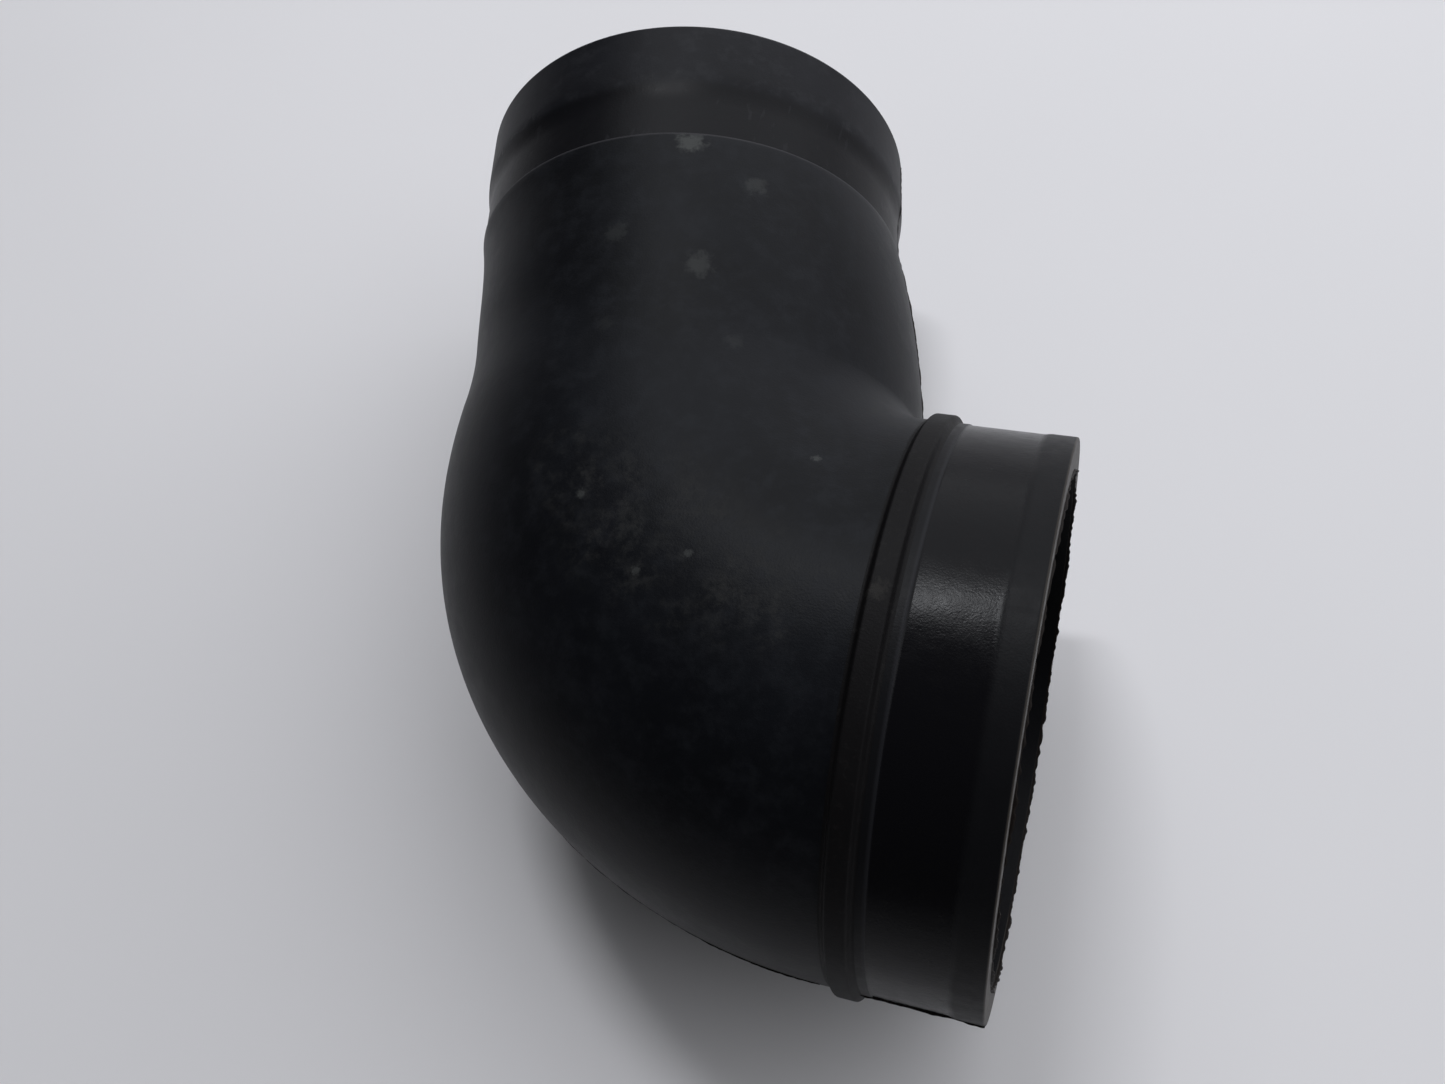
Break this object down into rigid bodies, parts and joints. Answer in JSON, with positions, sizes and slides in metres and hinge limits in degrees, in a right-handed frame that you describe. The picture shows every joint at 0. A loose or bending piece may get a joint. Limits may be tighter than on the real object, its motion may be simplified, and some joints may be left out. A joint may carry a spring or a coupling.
{
  "type": "flue elbow",
  "caption": "Thick-walled rubber reducing elbow that joins two round ducts of different size round a bend of about 78 degrees, with a clamp track on each cuff.",
  "frame": {"origin": "centre of the large mouth, in the plane of its end face", "axes": "+X out of the large mouth along its axis; +Z square to the bend plane, up as the elbow lies on its side; the small leg rises towards +Y and leans 12 degrees towards -X"},
  "size_m": [0.1565, 0.1949, 0.1172],
  "materials": {
    "body_rubber": "matte, with a faint grey bloom and scuffs",
    "cuff_rubber": "smooth, polished where a clamp sits",
    "rib_rubber": "matte, brownish grey",
    "flash_rubber": "rough torn edge"
  },
  "bodies": {
    "root": {"bend_body": "body_rubber", "large_end_cuff": "cuff_rubber", "small_end_cuff": "cuff_rubber", "stop_rib": "rib_rubber", "heel_flash": "flash_rubber", "throat_flash": "flash_rubber", "mouth_flash": "flash_rubber"}
  },
  "joints": []
}
